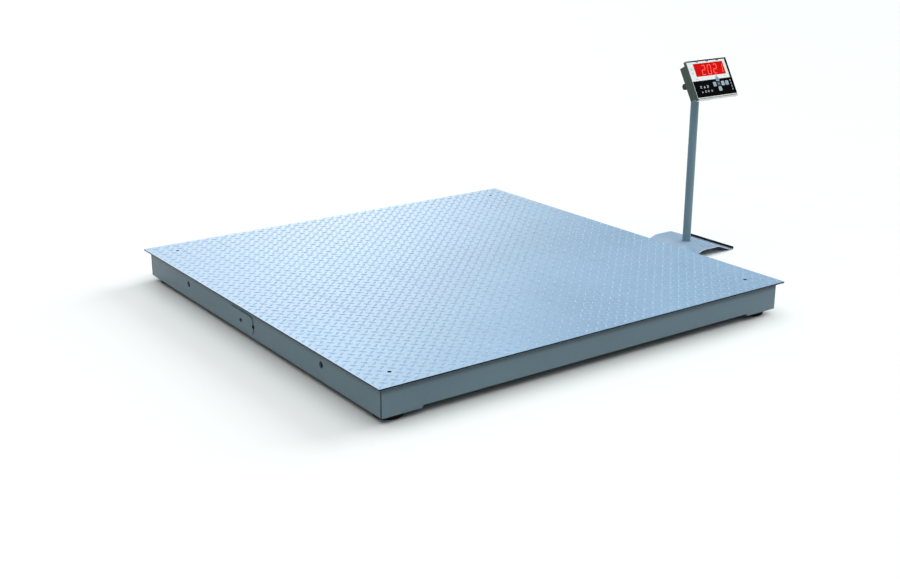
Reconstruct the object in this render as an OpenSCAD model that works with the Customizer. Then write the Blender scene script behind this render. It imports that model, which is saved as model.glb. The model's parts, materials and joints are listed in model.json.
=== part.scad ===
// Platform shipping scale: a tread-plate deck on four load cells with levelling feet,
// and a free-standing column that carries a tilting weight indicator.
// Millimetres, +Z up. The origin is on the floor, under the middle of the whole set.
// The operator stands on the -Y side, and the column stands beyond the +X edge of the deck.

/* [Deck] */
// Side of the square deck
deck_size = 1500; // [1200:50:2000]
// Height of the deck's top face above the floor
deck_h = 109; // [105:1:125]
// Thickness of the deck plate
deck_t = 5; // [4:1:8]
// Overhang of the deck past the frame
overhang = 17; // [10:1:25]
// Distance of each lifting hole from the two nearest deck edges
lift_inset = 85; // [80:1:95]
// Radius of the lifting thread
lift_r = 6; // [5:0.5:8]

/* [Frame] */
// Width of each side beam
beam_w = 125; // [115:1:140]
// Sheet thickness of the side beams
beam_t = 5; // [4:1:6]
// Gap between the floor and the frame's lowest edge
ground_gap = 18; // [16:1:22]
// Thickness of the front and rear skirts
skirt_t = 4; // [3:1:5]
// How far the middle of a skirt stops short of its ends
skirt_step = 7; // [4:1:12]
// Slot between a skirt's back and the end of a beam's outer web
corner_slot = 2; // [1:0.5:4]
// Radius of the handling holes in the side beams
side_hole_r = 10; // [8:1:12]
// Distance of the handling holes from the middle of the side
side_hole_y = 428; // [350:1:480]
// Height of the handling holes above the floor
side_hole_z = 66; // [60:1:72]
// Width of a cross rib
rib_w = 60; // [50:1:70]
// Depth of a cross rib
rib_h = 60; // [50:1:64]
// Spacing of the cross ribs
rib_pitch = 300; // [280:1:310]

/* [Load cells and feet] */
// Distance of each foot from the two nearest deck edges
foot_inset = 70; // [68:1:72]
// Length of a load cell
cell_l = 130; // [125:1:140]
// Side of a load cell's square section
cell_w = 32; // [30:1:34]
// Height of a load cell's lower face above the floor
cell_z = 40; // [40:1:42]
// Radius of a foot's rubber disc
foot_r = 41.5; // [38:0.5:43]
// Height of a foot's rubber disc
foot_h = 16; // [14:1:17]
// Radius of the foot stud's thread
stud_r = 6; // [5:0.5:6]

/* [Column stand] */
// Distance of the column's axis from the deck edge
stand_gap = 292; // [250:1:500]
// Column's place along Y, from the middle of the deck
stand_y = -45; // [-300:1:300]
// Reach of the base towards the deck, from the column's axis
base_near = 112; // [105:1:130]
// Reach of the base away from the deck, from the column's axis
base_far = 126; // [124:1:135]
// Length of the base along Y
base_len = 248; // [220:1:300]
// Height of the base's flat top above the floor
base_h = 27; // [25:1:34]
// Thickness of the base sheet
base_t = 3; // [2:0.5:4]
// Outside radius of the column tube
column_r = 15; // [14:0.5:16]
// Wall of the column tube
column_wall = 2; // [1.5:0.5:2.5]
// Height of the tilt axis above the floor
pivot_z = 603.5; // [560:0.5:900]

/* [Indicator] */
// Width of the indicator's face
face_w = 198; // [196:1:210]
// Height of the indicator's face
face_l = 145; // [144:1:155]
// Tilt of the face back from upright
face_tilt = 30; // [20:1:35]
// Depth of the front bezel
bezel_d = 12.5; // [12:0.5:16]
// Depth of the whole housing
housing_d = 42; // [41:1:52]
// Wall thickness of the housing
wall = 2.5; // [2:0.25:3]
// Width of the display window
window_w = 146; // [146:1:150]
// Height of the display window
window_l = 47; // [46:1:50]
// Width of a key
key_w = 15; // [12:0.5:16]
// Height of a key
key_l = 16; // [12:0.5:16]
// Travel of a key
key_travel = 1.2; // [0.8:0.1:1.5]

/* [Hidden] */
$fn = 64;

// Fit allowance between a turning or sliding pin and its hole
fit = 0.05;
// Play between parts of one body that only sit beside each other
play = 0.2;

deck_x = -(stand_gap + base_far) / 2;
stand_x = deck_x + deck_size / 2 + stand_gap;
half = deck_size / 2;
frame_half = half - overhang;
deck_under = deck_h - deck_t;
beam_in = frame_half - beam_w;
web_end = frame_half - skirt_t - corner_slot;
lift_at = half - lift_inset;
nut_r = 15;
nut_h = 12;

foot_at = half - foot_inset;
cell_top = cell_z + cell_w;
cell_free = foot_at + cell_w / 2;
cell_fixed = cell_free - cell_l;
bolt_head_h = 8;
jam_nut_h = 6;
block_l = 54;
block_w = 40;
cup_z = 8;
cup_top = 22;
cup_r = 25;
ball_r = 8;
ball_z = 14;
ball_h = 5;

box_y = 49;
box_z = 55;
box_l = 124;
box_w = 72;
box_h = 42;
box_wall = 3;
box_x = -half + 38;
cover_l = 154;
cover_h = 59;
cover_t = 2.5;
cover_round = 18;
hatch_l = 130;
hatch_h = 46;
grommet_y = box_y - cover_l / 2;
grommet_r = 5.5;
cable_r = 3;
cable_bend = 12;
cable_high = 90;
cable_low = 52;
gland_r = 7;
gland_l = 14;

flat_near = 34;
flat_far = 48;
ramp_foot = 114;
lip_h = 10;
base_shift = 4;
column_top = pivot_z - 16;
head_r = 11;
head_half = 39;
lug_t = 5;
lug_in = head_half + 2;
tilt_r = 4;
knob_l = 13;

pivot_up = 80;
pivot_deep = 82;
rim = 1.5;
overlay_y = 1;
panel_y = 1.8;
panel_t = 2.5;
panel_back = panel_y + panel_t;
overlay_low = 8.5;
rear_w = face_w - 12;
rear_low = 10;
rear_high = face_l - 11;
post_x = face_w / 2 - 7;
post_low = 7;
post_high = face_l - 7;
flange_y = bezel_d - wall;
seal_y = flange_y - 1.5;
screw_tip = panel_back + 0.7;
window_x = 4;
window_z = 109;
digit_pitch = 29;
digit_shift = 4;
gland_x = [35, 62];
gland_z = 27;
keys_x = 25.5;
keys_z = 51;
key_pitch_x = 20.5;
key_pitch_z = 18.5;

steel_blue = [0.50, 0.58, 0.64];
deck_blue = [0.72, 0.80, 0.88];
zinc = [0.72, 0.72, 0.70];
black = [0.06, 0.06, 0.07];
rubber_black = [0.03, 0.03, 0.03];
housing_grey = [0.30, 0.33, 0.31];
board_green = [0.08, 0.32, 0.16];

// ---- placing helpers ----

module on_deck() {
    translate([deck_x, 0, 0]) children();
}

// Repeats a shape drawn at the +X +Y corner of the deck in all four corners.
module four_corners() {
    for (sx = [-1, 1], sy = [-1, 1])
        on_deck() mirror([sx < 0 ? 1 : 0, 0, 0]) mirror([0, sy < 0 ? 1 : 0, 0]) children();
}

// Places a shape at one foot: 1 front left, 2 front right, 3 rear right, 4 rear left.
module at_foot(n) {
    sx = (n == 1 || n == 4) ? -1 : 1;
    sy = (n == 1 || n == 2) ? -1 : 1;
    on_deck() translate([sx * foot_at, sy * foot_at, 0]) children();
}

// The indicator's own axes: x across the face, y into the housing, z up the face.
module on_indicator() {
    translate([stand_x, stand_y, pivot_z])
        rotate([-face_tilt, 0, 0])
            translate([0, -pivot_deep, -pivot_up]) children();
}

module at_column() {
    translate([stand_x, stand_y, 0]) children();
}

// A rod along X, from x = a to x = b.
module rod_x(a, b, r) {
    translate([a, 0, 0]) rotate([0, 90, 0]) cylinder(r = r, h = b - a);
}

// A rod along Y, from y = a to y = b.
module rod_y(a, b, r) {
    translate([0, a, 0]) rotate([-90, 0, 0]) cylinder(r = r, h = b - a);
}

// A hexagon prism with the given size across its flats.
module hex(flats, h) {
    cylinder(r = flats / sqrt(3), h = h, $fn = 6);
}

// A plate with round corners, l along Y and h along Z, standing on x = 0 and t thick.
module round_plate(l, h, t, r) {
    for (sy = [-1, 1], sz = [-1, 1])
        translate([0, sy * (l / 2 - r), sz * (h / 2 - r)]) rod_x(0, t, r);
    translate([0, -l / 2 + r, -h / 2]) cube([t, l - 2 * r, h]);
    translate([0, -l / 2, -h / 2 + r]) cube([t, l, h - 2 * r]);
}

// ---- deck and frame ----

module deck_plate() {
    color(deck_blue) difference() {
        on_deck() translate([-half, -half, deck_under]) cube([deck_size, deck_size, deck_t]);
        four_corners() translate([lift_at, lift_at, deck_under - 1]) cylinder(r = lift_r, h = deck_t + 2);
    }
}

// A folded channel, drawn for the +X side: outer web, top flange and inner web.
module side_beam() {
    web_h = deck_under - ground_gap;
    skirt_back = frame_half - skirt_t;
    difference() {
        union() {
            translate([frame_half - beam_t, -web_end, ground_gap]) cube([beam_t, 2 * web_end, web_h]);
            translate([beam_in, -skirt_back, deck_under - beam_t]) cube([beam_w - beam_t, 2 * skirt_back, beam_t]);
            translate([beam_in, -skirt_back, ground_gap]) cube([beam_t, 2 * skirt_back, web_h]);
        }
        for (s = [-1, 1]) {
            translate([0, s * side_hole_y, side_hole_z]) rod_x(frame_half - beam_t - 1, frame_half + 1, side_hole_r);
            translate([lift_at, s * lift_at, deck_under - beam_t - 1]) cylinder(r = nut_r + 1, h = beam_t + 2);
            translate([0, box_y + s * 9, cable_low]) rod_x(beam_in - 1, beam_in + beam_t + 1, 2 * cable_r);
        }
    }
}

module side_beam_right() {
    color(steel_blue) on_deck() side_beam();
}

module side_beam_left() {
    color(steel_blue) on_deck() difference() {
        mirror([1, 0, 0]) side_beam();
        translate([-frame_half - 1, box_y, box_z]) round_plate(hatch_l, hatch_h, beam_t + 2, 6);
        translate([0, grommet_y, box_z]) rod_x(-frame_half - 1, -frame_half + beam_t + 1, grommet_r - 1);
    }
}

// A skirt with deeper ends and a stiffening lip along its middle, drawn for the -Y side.
module skirt() {
    on_deck() difference() {
        union() {
            translate([-frame_half, -frame_half, ground_gap])
                cube([2 * frame_half, skirt_t, deck_under - ground_gap]);
            translate([-beam_in + skirt_t, -frame_half, ground_gap + skirt_step])
                cube([2 * (beam_in - skirt_t), 24, skirt_t]);
        }
        translate([-beam_in, -frame_half - 1, ground_gap - 1]) cube([2 * beam_in, skirt_t + 2, skirt_step + 1]);
    }
}

module front_skirt() {
    color(steel_blue) skirt();
}

module rear_skirt() {
    color(steel_blue) mirror([0, 1, 0]) skirt();
}

module cross_ribs() {
    color(steel_blue) on_deck() for (i = [-2:2])
        translate([-beam_in, i * rib_pitch - rib_w / 2, deck_under - rib_h]) difference() {
            cube([2 * beam_in, rib_w, rib_h]);
            translate([-1, skirt_t, -1]) cube([2 * beam_in + 2, rib_w - 2 * skirt_t, rib_h - skirt_t + 1]);
        }
}

// Flat bars between the cross ribs, in two lines along Y.
module long_ribs() {
    bar_t = 6;
    bar_h = 40;
    inner = rib_pitch - rib_w;
    outer = frame_half - skirt_t - 2 * rib_pitch - rib_w / 2;
    color(steel_blue) on_deck() for (x = [-200, 200]) {
        for (i = [-2:1])
            translate([x - bar_t / 2, i * rib_pitch + rib_w / 2, deck_under - bar_h]) cube([bar_t, inner, bar_h]);
        for (y = [-frame_half + skirt_t, 2 * rib_pitch + rib_w / 2])
            translate([x - bar_t / 2, y, deck_under - bar_h]) cube([bar_t, outer, bar_h]);
    }
}

module lifting_nuts() {
    color(zinc) four_corners() translate([lift_at, lift_at, deck_under - nut_h]) difference() {
        cylinder(r = nut_r, h = nut_h);
        translate([0, 0, -1]) cylinder(r = lift_r, h = nut_h + 2);
    }
}

// ---- load cells and feet ----

module bolt_places() {
    for (y = [14, 39]) translate([foot_at, cell_fixed + y, 0]) children();
}

module cell_blocks() {
    color(steel_blue) four_corners() difference() {
        translate([foot_at - block_w / 2, cell_fixed, cell_top])
            cube([block_w, block_l, deck_under - beam_t - cell_top]);
        bolt_places() translate([0, 0, cell_top - 1]) cylinder(r = stud_r + fit, h = 22);
    }
}

// A shear-beam cell: fixed at the inboard end, with the foot's thread at the corner end.
module load_cells() {
    color(zinc) four_corners() difference() {
        translate([foot_at - cell_w / 2, cell_fixed, cell_z]) cube([cell_w, cell_l, cell_w]);
        translate([foot_at, foot_at, cell_z - 1]) cylinder(r = stud_r + fit, h = cell_w + 2);
        bolt_places() translate([0, 0, cell_z - 1]) cylinder(r = stud_r + fit, h = cell_w + 2);
        for (s = [-1, 1])
            translate([0, foot_at - 47, cell_z + cell_w / 2])
                rod_x(foot_at + s * (cell_w / 2) - 8, foot_at + s * (cell_w / 2) + 8, 11);
    }
}

module cell_bolts() {
    color(zinc) four_corners() bolt_places() {
        translate([0, 0, cell_z]) cylinder(r = stud_r, h = cell_w + 18);
        translate([0, 0, cell_z - bolt_head_h]) hex(19, bolt_head_h);
    }
}

module foot_lock_nuts() {
    color(zinc) four_corners() translate([foot_at, foot_at, cell_z - jam_nut_h]) difference() {
        hex(19, jam_nut_h);
        translate([0, 0, -1]) cylinder(r = stud_r + fit, h = jam_nut_h + 2);
    }
}

module foot_rubber(n) {
    color(rubber_black) at_foot(n) rotate_extrude() difference() {
        polygon([[0, 0], [foot_r - 2, 0], [foot_r, 3], [foot_r, foot_h - 3], [foot_r - 3, foot_h], [0, foot_h]]);
        translate([-1, cup_z]) square([cup_r + 1, foot_h]);
    }
}

// The steel cup that holds the stud's foot: a trapped socket with a narrow neck.
module foot_cup(n) {
    color(zinc) at_foot(n) difference() {
        translate([0, 0, cup_z]) cylinder(r = cup_r, h = cup_top - cup_z);
        translate([0, 0, ball_z - fit]) cylinder(r = ball_r + fit, h = ball_h + 2 * fit);
        translate([0, 0, ball_z + 1]) cylinder(r = stud_r + 0.5, h = cup_top);
    }
}

module foot_stud(n) {
    color(zinc) at_foot(n) {
        translate([0, 0, ball_z]) cylinder(r = ball_r, h = ball_h);
        translate([0, 0, ball_z]) cylinder(r = stud_r, h = cell_top + 6 - ball_z);
        translate([0, 0, cup_top + 0.5]) hex(17, 4.5);
    }
}

// ---- junction box, access cover and cables ----

module junction_box() {
    color("gainsboro") on_deck() difference() {
        translate([box_x, box_y - box_l / 2, box_z - box_h / 2]) cube([box_w, box_l, box_h]);
        translate([box_x - 1, box_y - box_l / 2 + box_wall, box_z - box_h / 2 + box_wall])
            cube([box_w - box_wall + 1, box_l - 2 * box_wall, box_h - 2 * box_wall]);
        translate([-foot_at, 0, box_z]) rod_y(box_y - box_l / 2 - 1, box_y + box_l / 2 + 1, cable_r + play);
        translate([-foot_at - 22, 0, box_z]) rod_y(box_y - box_l / 2 - 1, box_y - box_l / 2 + box_wall + 1, cable_r);
        for (s = [-1, 1])
            translate([0, box_y + s * 9, cable_low]) rod_x(box_x + box_w - box_wall - 1, box_x + box_w + 1, cable_r + play);
    }
}

module junction_box_lid() {
    color("gainsboro") on_deck() {
        translate([box_x - 3, box_y - box_l / 2, box_z - box_h / 2]) cube([3, box_l, box_h]);
        for (sy = [-1, 1], sz = [-1, 1])
            translate([0, box_y + sy * (box_l / 2 - 7), box_z + sz * (box_h / 2 - 7)]) rod_x(box_x - 5, box_x - 3, 3);
    }
}

module junction_box_board() {
    color(board_green) on_deck() {
        translate([box_x + 30, box_y - 50, box_z - 16]) cube([1.6, 100, 32]);
        for (y = [-40:20:40])
            translate([box_x + 19, box_y + y - 8, box_z - 6]) cube([11, 16, 10]);
    }
}

// A gland with a hexagon and a domed cap along +Y, bored for its cable.
module gland(bore) {
    rotate([-90, 0, 0]) difference() {
        union() {
            hex(2 * gland_r, 5);
            cylinder(r = gland_r - 1, h = gland_l - 3);
            translate([0, 0, gland_l - 3]) cylinder(r1 = gland_r - 1, r2 = gland_r - 3, h = 3);
        }
        translate([0, 0, -1]) cylinder(r = bore, h = gland_l + 2);
    }
}

module junction_box_glands() {
    color(black) on_deck() {
        translate([-foot_at, box_y + box_l / 2, box_z]) gland(cable_r + play);
        translate([-foot_at, box_y - box_l / 2, box_z]) mirror([0, 1, 0]) gland(cable_r + play);
        translate([-foot_at - 22, box_y - box_l / 2, box_z]) mirror([0, 1, 0]) gland(cable_r);
        for (s = [-1, 1])
            translate([box_x + box_w, box_y + s * 9, cable_low]) rotate([0, 0, -90]) gland(cable_r + play);
    }
}

module junction_box_bracket() {
    top = deck_under - beam_t;
    low = box_z + box_h / 2;
    color(steel_blue) on_deck() {
        translate([box_x + 10, box_y - 40, low]) cube([box_w - 20, 80, 3]);
        for (s = [-1, 1])
            translate([box_x + 10, box_y + s * 38.5 - 1.5, low]) cube([box_w - 20, 3, top - low]);
    }
}

module access_cover() {
    color(steel_blue) on_deck() difference() {
        translate([-frame_half - cover_t, box_y, box_z]) round_plate(cover_l, cover_h, cover_t, cover_round);
        translate([0, grommet_y, box_z]) rod_x(-frame_half - cover_t - 1, -frame_half + 1, grommet_r + play);
        translate([0, box_y, box_z]) rod_x(-frame_half - cover_t - 1, -frame_half + 1, tilt_r + play);
    }
}

module cover_clamp_bar() {
    color(steel_blue) on_deck() difference() {
        translate([-frame_half + beam_t, box_y - 10, box_z - 28]) cube([4, 20, 56]);
        translate([0, box_y, box_z]) rod_x(-frame_half, -frame_half + beam_t + 6, tilt_r + fit);
    }
}

module cover_screw() {
    color(black) on_deck() translate([-frame_half - cover_t, box_y, box_z]) {
        rod_x(0, cover_t + beam_t + 5, tilt_r);
        difference() {
            rod_x(-2.5, 0, 5.5);
            translate([-3, 0, 0]) rotate([0, 90, 0]) hex(5, 2);
        }
    }
}

module outlet_grommet() {
    color(rubber_black) on_deck() translate([-frame_half, grommet_y, box_z]) difference() {
        union() {
            rod_x(-2, 0, grommet_r);
            rod_x(0, beam_t, grommet_r - 1);
            rod_x(beam_t, beam_t + 2, grommet_r);
        }
        rod_x(-3, beam_t + 3, cable_r);
    }
}

function unit(v) = v / norm(v);

// A cable through points joined at right angles, with a round bend at each inner point.
module route(points) {
    last = len(points) - 1;
    for (i = [0:last - 1]) {
        a = points[i];
        b = points[i + 1];
        d = unit(b - a);
        start = a + d * (i > 0 ? cable_bend : 0);
        run = norm(b - a) - (i > 0 ? cable_bend : 0) - (i < last - 1 ? cable_bend : 0);
        side = abs(d[2]) > 0.5 ? [1, 0, 0] : [0, 0, 1];
        frame_along(start, cross(side, d), side, d) cylinder(r = cable_r, h = run, $fn = 24);
    }
    for (i = [1:last - 1]) {
        d = unit(points[i] - points[i - 1]);
        e = unit(points[i + 1] - points[i]);
        centre = points[i] + cable_bend * (e - d);
        frame_along(centre, -e, d, cross(-e, d))
            rotate_extrude(angle = 90, $fn = 48) translate([cable_bend, 0]) circle(r = cable_r, $fn = 24);
    }
}

// Moves a shape to the point p, with its own axes along the unit vectors x, y and z.
module frame_along(p, x, y, z) {
    multmatrix([[x[0], y[0], z[0], p[0]], [x[1], y[1], z[1], p[1]], [x[2], y[2], z[2], p[2]], [0, 0, 0, 1]])
        children();
}

// The cells' own cables, all inside the frame, from each cell's fixed end to the junction box.
module load_cell_cables() {
    cell_mid = cell_z + cell_w / 2;
    in_y = box_l / 2 + gland_l;
    color(black) on_deck() for (s = [-1, 1]) {
        route([[-foot_at, s * cell_fixed, cell_mid], [-foot_at, s * (cell_fixed - 30), cell_mid],
            [-foot_at, s * (cell_fixed - 30), cable_high], [-foot_at, box_y + s * (in_y + 40), cable_high],
            [-foot_at, box_y + s * (in_y + 40), box_z], [-foot_at, box_y + s * in_y, box_z]]);
        route([[foot_at, s * cell_fixed, cell_mid], [foot_at, s * (cell_fixed - 30), cell_mid],
            [foot_at, s * (cell_fixed - 30), cable_high], [foot_at, box_y + s * 9, cable_high],
            [foot_at, box_y + s * 9, cable_low], [box_x + box_w + gland_l, box_y + s * 9, cable_low]]);
    }
}

// Saddle clips that hang the cables from the beams, and posts that hold them below the bars.
module cable_clips() {
    top = deck_under - beam_t;
    color(black) on_deck() {
        for (x = [-foot_at, foot_at], y = [-450, -250, 250, 450])
            translate([x, y, 0]) difference() {
                translate([-6, -5, cable_high - 5]) cube([12, 10, top - cable_high + 5]);
                translate([0, 0, cable_high]) rod_y(-6, 6, cable_r + play);
            }
        for (x = [-200, 200])
            translate([x, box_y, 0]) difference() {
                translate([-5, -15, cable_low - 5]) cube([10, 30, deck_under - 40 - cable_low + 5]);
                for (s = [-1, 1]) translate([0, s * 9, cable_low]) rod_x(-6, 6, cable_r + play);
            }
    }
}

// ---- column stand ----

// One bent sheet: a ramp, a flat top, a steeper slope and a small upturned lip.
module stand_base() {
    outline = [[-base_near, 0], [-base_near, base_t], [-base_near * 0.62, base_h * 0.58],
        [-flat_near, base_h], [flat_far, base_h], [ramp_foot + 1, base_t], [base_far - base_t, base_t],
        [base_far - base_t, lip_h], [base_far, lip_h], [base_far, 0], [ramp_foot, 0],
        [flat_far - 1, base_h - base_t], [1 - flat_near, base_h - base_t],
        [-base_near * 0.62 + 2, base_h * 0.58 - base_t], [-base_near + 6, 0]];
    color(steel_blue) difference() {
        at_column() translate([0, base_shift + base_len / 2, 0])
            rotate([90, 0, 0]) linear_extrude(base_len) polygon(outline);
        at_column() cylinder(r = 5.2, h = base_h + 10);
    }
}

module column_tube() {
    color(steel_blue) at_column() difference() {
        translate([0, 0, base_h]) cylinder(r = column_r, h = column_top - base_h);
        translate([0, 0, base_h - 1]) cylinder(r = column_r - column_wall, h = column_top - base_h + 2);
        translate([0, 0, column_top - 18]) rod_y(0, column_r + 1, 2.6);
    }
}

// The threaded plug welded in the tube's lower end.
module column_plug() {
    color(zinc) at_column() difference() {
        translate([0, 0, base_h]) cylinder(r = column_r - column_wall - play, h = 34);
        translate([0, 0, base_h - 1]) cylinder(r = 5 + fit, h = 30);
    }
}

// A bolt and backing plate under the base, and the grub screw behind the head.
module column_fasteners() {
    low = base_h - base_t;
    color(zinc) at_column() {
        translate([0, 0, low - 5]) cylinder(r = 5, h = 30);
        translate([0, 0, low - 11]) hex(17, 6);
        difference() {
            translate([-30, -30, low - 5]) cube([60, 60, 5]);
            translate([0, 0, low - 6]) cylinder(r = 5 + fit, h = 7);
        }
        translate([0, 0, column_top - 18]) rod_y(7, column_r - 0.5, 2.5);
    }
}

// A cross tube for the tilt bolt, on a spigot that drops into the column.
module column_head() {
    color(steel_blue) at_column() difference() {
        union() {
            translate([0, 0, pivot_z]) rod_x(-head_half, head_half, head_r);
            translate([0, 0, column_top - 40]) cylinder(r = column_r - column_wall - play, h = pivot_z - column_top + 40);
            translate([0, 0, column_top]) cylinder(r = column_r, h = pivot_z - column_top);
        }
        translate([0, 0, pivot_z]) rod_x(-head_half - 1, head_half + 1, tilt_r + play);
        translate([0, 0, column_top - 18]) rod_y(6.9, column_r + 1, 2.5 + fit);
        translate([-column_r - 1, -column_r - 1, pivot_z + head_r - 3]) cube([2 * column_r + 2, 2 * column_r + 2, 9]);
    }
}

module tilt_bolt() {
    color(zinc) at_column() translate([0, 0, pivot_z]) {
        rod_x(-lug_in - lug_t - knob_l + 3, lug_in + lug_t + 2, tilt_r);
        translate([lug_in + lug_t + 0.2, 0, 0]) rotate([0, 90, 0]) hex(13, 5.5);
    }
}

module friction_washers() {
    color(black) at_column() translate([0, 0, pivot_z]) for (s = [-1, 1])
        difference() {
            rod_x(s > 0 ? head_half : -lug_in + 0.1, s > 0 ? lug_in - 0.1 : -head_half, head_r);
            rod_x(-lug_in - 1, lug_in + 1, tilt_r + play);
        }
}

// A round clamping knob with finger lobes, threaded on the tilt bolt.
module tilt_knob() {
    outer = -lug_in - lug_t - 0.2;
    color(black) at_column() translate([0, 0, pivot_z]) difference() {
        union() {
            rod_x(outer - knob_l, outer - 4, 10);
            rod_x(outer - 4, outer, 7);
            for (a = [0:60:300])
                rotate([a, 0, 0]) translate([0, 9, 0]) rod_x(outer - knob_l, outer - 4, 2.5);
        }
        rod_x(outer - knob_l + 2, outer + 1, tilt_r + fit);
    }
}

// ---- indicator ----

module lug(s) {
    x = s > 0 ? lug_in : -lug_in - lug_t;
    difference() {
        union() {
            translate([x, housing_d - 0.5, pivot_up - head_r]) cube([lug_t, pivot_deep - housing_d + 0.5, 2 * head_r]);
            translate([0, pivot_deep, pivot_up]) rod_x(x, x + lug_t, head_r);
        }
        translate([0, pivot_deep, pivot_up]) rod_x(x - 1, x + lug_t + 1, tilt_r + play);
    }
}

module screw_posts() {
    for (s = [-1, 1], z = [post_low, post_high]) translate([s * post_x, 0, z]) children();
}

module rear_housing() {
    deep = housing_d - flange_y;
    tall = rear_high - rear_low;
    color(housing_grey) on_indicator() {
        difference() {
            union() {
                translate([-rear_w / 2, flange_y, rear_low]) cube([rear_w, deep, tall]);
                translate([-face_w / 2 + wall + play, flange_y, wall + play])
                    cube([face_w - 2 * (wall + play), bezel_d - flange_y, face_l - 2 * (wall + play)]);
            }
            translate([-rear_w / 2 + wall, flange_y - 1, rear_low + wall])
                cube([rear_w - 2 * wall, deep - wall + 1, tall - 2 * wall]);
            screw_posts() rod_y(flange_y - 1, bezel_d + 1, 1.6);
            for (x = gland_x) translate([x, 0, gland_z]) rod_y(housing_d - wall - 1, housing_d + 1, 4);
        }
        lug(-1);
        lug(1);
    }
}

module key_places() {
    for (k = [[0, 1], [0, -1], [-1, 0], [1, 0], [0, 0], [2, 0]])
        translate([keys_x + k[0] * key_pitch_x, 0, keys_z + k[1] * key_pitch_z]) children();
}

module front_bezel() {
    color("silver") on_indicator() difference() {
        union() {
            difference() {
                translate([-face_w / 2, 0, 0]) cube([face_w, bezel_d, face_l]);
                translate([-face_w / 2 + rim, -1, overlay_low]) cube([face_w - 2 * rim, panel_y + 1, face_l - overlay_low - rim]);
                translate([-face_w / 2 + wall, panel_back, wall])
                    cube([face_w - 2 * wall, bezel_d, face_l - 2 * wall]);
            }
            screw_posts() rod_y(panel_back - 1, seal_y - 0.2, 3.5);
        }
        screw_posts() rod_y(screw_tip - 0.5, seal_y + 1, 1.25 + fit);
        translate([window_x - window_w / 2 - play, panel_y - 1, window_z - window_l / 2 - play])
            cube([window_w + 2 * play, panel_t + 2, window_l + 2 * play]);
        key_places() translate([-key_w / 2 - play, panel_y - 1, -key_l / 2 - play])
            cube([key_w + 2 * play, panel_t + 2, key_l + 2 * play]);
    }
}

module housing_gasket() {
    edge = wall + play;
    color(rubber_black) on_indicator() difference() {
        translate([-face_w / 2 + edge, seal_y, edge]) cube([face_w - 2 * edge, flange_y - seal_y, face_l - 2 * edge]);
        translate([-rear_w / 2 + wall + 1, seal_y - 1, rear_low + wall])
            cube([rear_w - 2 * wall - 2, 4, rear_high - rear_low - 2 * wall]);
        screw_posts() rod_y(seal_y - 1, flange_y + 1, 1.6);
    }
}

module housing_screws() {
    color(zinc) on_indicator() screw_posts() {
        rod_y(screw_tip, bezel_d, 1.25);
        rod_y(bezel_d, bezel_d + 2, 2.75);
    }
}

module face_overlay() {
    color(black) on_indicator() difference() {
        translate([-face_w / 2 + rim + play, overlay_y, overlay_low + play])
            cube([face_w - 2 * (rim + play), panel_y - overlay_y, face_l - overlay_low - rim - 2 * play]);
        translate([window_x - window_w / 2 - play, 0, window_z - window_l / 2 - play])
            cube([window_w + 2 * play, panel_y + 1, window_l + 2 * play]);
        key_places() translate([-key_w / 2 - play, 0, -key_l / 2 - play])
            cube([key_w + 2 * play, panel_y + 1, key_l + 2 * play]);
    }
}

module display_window() {
    color("red") on_indicator() translate([window_x, 0, window_z]) {
        translate([-window_w / 2, overlay_y, -window_l / 2]) cube([window_w, panel_back - overlay_y, window_l]);
        translate([-window_w / 2 - 4, panel_back, -window_l / 2 - 4]) cube([window_w + 8, 1.2, window_l + 8]);
    }
}

module led_digits() {
    color("darkred") on_indicator() for (i = [-2:2])
        translate([window_x + digit_shift + i * digit_pitch - 14, panel_back + 1.6, window_z - 21]) cube([28, 9, 42]);
}

module display_board() {
    color(board_green) on_indicator() {
        translate([window_x - 80, panel_back + 10.6, window_z - 26]) cube([160, 1.6, 48]);
        translate([keys_x - 34, panel_back + 5, keys_z - 28]) cube([96, 1.6, 56]);
    }
}

module main_board() {
    color(board_green) on_indicator() {
        translate([-80, 27, 22]) cube([160, 1.6, 100]);
        for (x = [-74, 74], z = [28, 116]) translate([x, 0, z]) rod_y(28.6, housing_d - wall, 3);
        for (x = [-40, 10]) translate([x, 23, 60]) cube([22, 4, 22]);
    }
}

module battery_pack() {
    color("steelblue") on_indicator() translate([-50, 30, 40]) cube([100, housing_d - wall - 30, 60]);
}

module indicator_glands() {
    color(black) on_indicator() for (x = gland_x) translate([x, housing_d, gland_z]) gland(cable_r);
}

// A key: a cap that stands through the overlay, on a wider skirt that keeps it in.
module key(i, j) {
    cap_d = panel_back + 1;
    on_indicator() translate([keys_x + i * key_pitch_x, 0, keys_z + j * key_pitch_z]) {
        translate([-key_w / 2, 0, -key_l / 2]) cube([key_w, cap_d, key_l]);
        translate([-key_w / 2 - 1, panel_back + 0.1, -key_l / 2 - 1]) cube([key_w + 2, 1.2, key_l + 2]);
        translate([0, 0, 0]) rod_y(panel_back + 1, panel_back + 5 - key_travel - 0.3, 2);
    }
}

deck_plate();
side_beam_left();
side_beam_right();
front_skirt();
rear_skirt();
cross_ribs();
long_ribs();
lifting_nuts();
cell_blocks();
load_cells();
cell_bolts();
foot_lock_nuts();
foot_rubber(1);  // foot_rubber_1
foot_rubber(2);  // foot_rubber_2
foot_rubber(3);  // foot_rubber_3
foot_rubber(4);  // foot_rubber_4
foot_cup(1);  // foot_cup_1
foot_cup(2);  // foot_cup_2
foot_cup(3);  // foot_cup_3
foot_cup(4);  // foot_cup_4
foot_stud(1);  // foot_stud_1
foot_stud(2);  // foot_stud_2
foot_stud(3);  // foot_stud_3
foot_stud(4);  // foot_stud_4
junction_box();
junction_box_lid();
junction_box_board();
junction_box_glands();
junction_box_bracket();
access_cover();
cover_clamp_bar();
cover_screw();
outlet_grommet();
load_cell_cables();
cable_clips();
stand_base();
column_tube();
column_plug();
column_fasteners();
column_head();
tilt_bolt();
friction_washers();
tilt_knob();
rear_housing();
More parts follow.
